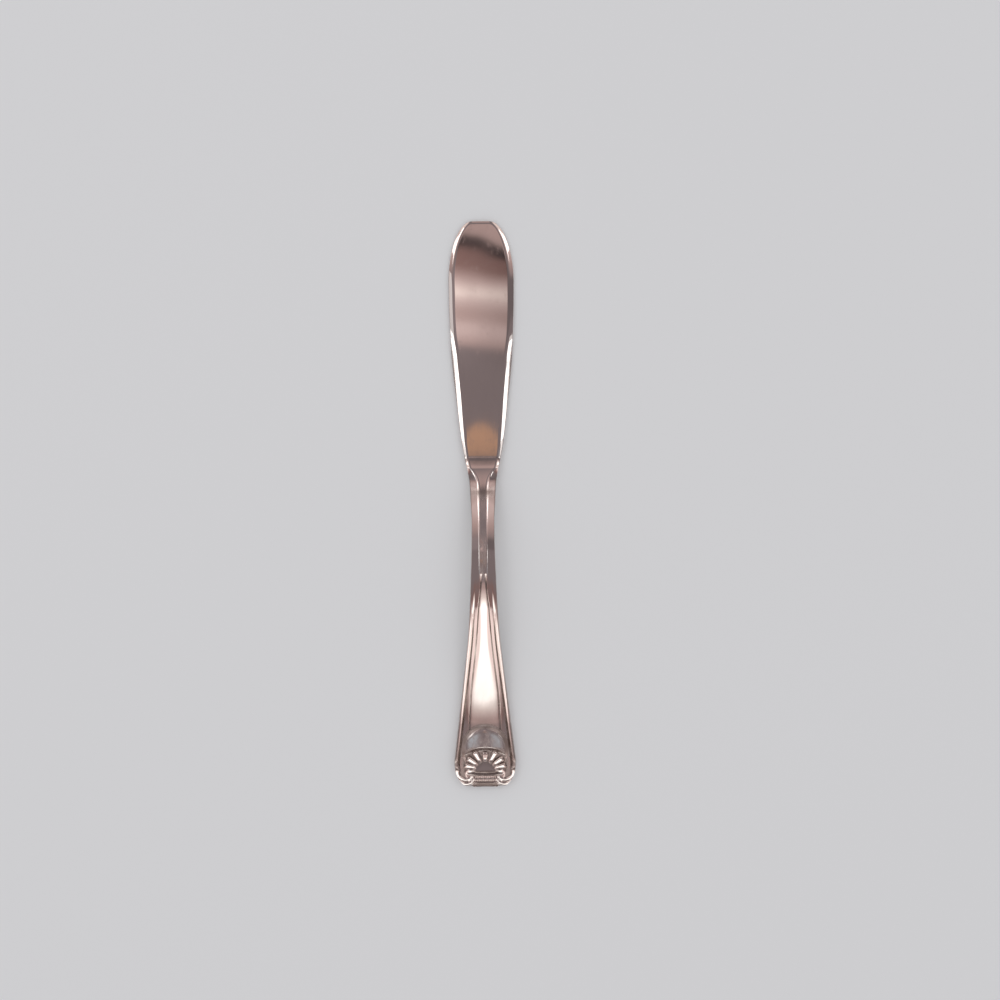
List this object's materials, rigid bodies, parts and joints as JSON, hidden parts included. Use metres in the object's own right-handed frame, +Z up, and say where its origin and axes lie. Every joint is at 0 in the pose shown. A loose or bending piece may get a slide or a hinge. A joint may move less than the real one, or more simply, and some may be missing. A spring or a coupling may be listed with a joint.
{
  "type": "butter knife",
  "caption": "Flat-handled butter spreader in polished silver plate: broad round-tipped blade, faceted neck and a flared handle ending in a struck shell between scrolls.",
  "frame": {"origin": "middle of the knife's outline, on the surface that it lies on", "axes": "+Y along the knife towards the blade's tip, +Z up out of the struck face"},
  "size_m": [0.0176, 0.152, 0.0067],
  "materials": {
    "silver_plate": "polished silver plate, slightly warm, with fine handling scratches and darker recesses"
  },
  "bodies": {
    "root": {"butter_spreader": "silver_plate"}
  },
  "joints": []
}
